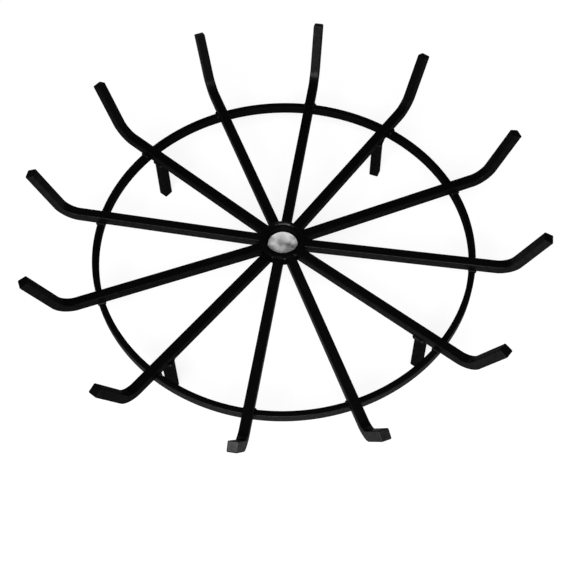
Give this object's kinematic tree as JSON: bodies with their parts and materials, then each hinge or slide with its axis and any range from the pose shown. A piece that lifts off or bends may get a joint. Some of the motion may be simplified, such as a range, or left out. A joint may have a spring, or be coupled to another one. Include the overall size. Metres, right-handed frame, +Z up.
{
  "type": "fireplace grate",
  "caption": "Round wheel-shaped steel log grate: square bars run level from a hub, across a ring, to upturned ends, on short legs.",
  "frame": {"origin": "on the hub's axis, at the level of the feet's undersides", "axes": "+Z up along the hub's axis, out of the side that the logs lie on; +X along the even place of bar_01"},
  "size_m": [0.659, 0.6606, 0.1509],
  "materials": {
    "black_paint": "satin black heat-resistant paint on hot-rolled square bar",
    "painted_weld": "weld beads under the same satin black paint",
    "bare_steel": "bare turned steel, a little uneven"
  },
  "bodies": {
    "root": {"bar_01": "black_paint", "bar_02": "black_paint", "bar_03": "black_paint", "bar_04": "black_paint", "bar_05": "black_paint", "bar_06": "black_paint", "bar_07": "black_paint", "bar_08": "black_paint", "bar_09": "black_paint", "bar_10": "black_paint", "bar_11": "black_paint", "bar_12": "black_paint", "support_ring": "black_paint", "ring_welds": "painted_weld", "hub_tube": "black_paint", "hub_plug": "bare_steel", "hub_weld": "painted_weld", "leg_1": "black_paint", "leg_2": "black_paint", "leg_3": "black_paint", "leg_4": "black_paint", "leg_welds": "painted_weld"}
  },
  "joints": []
}
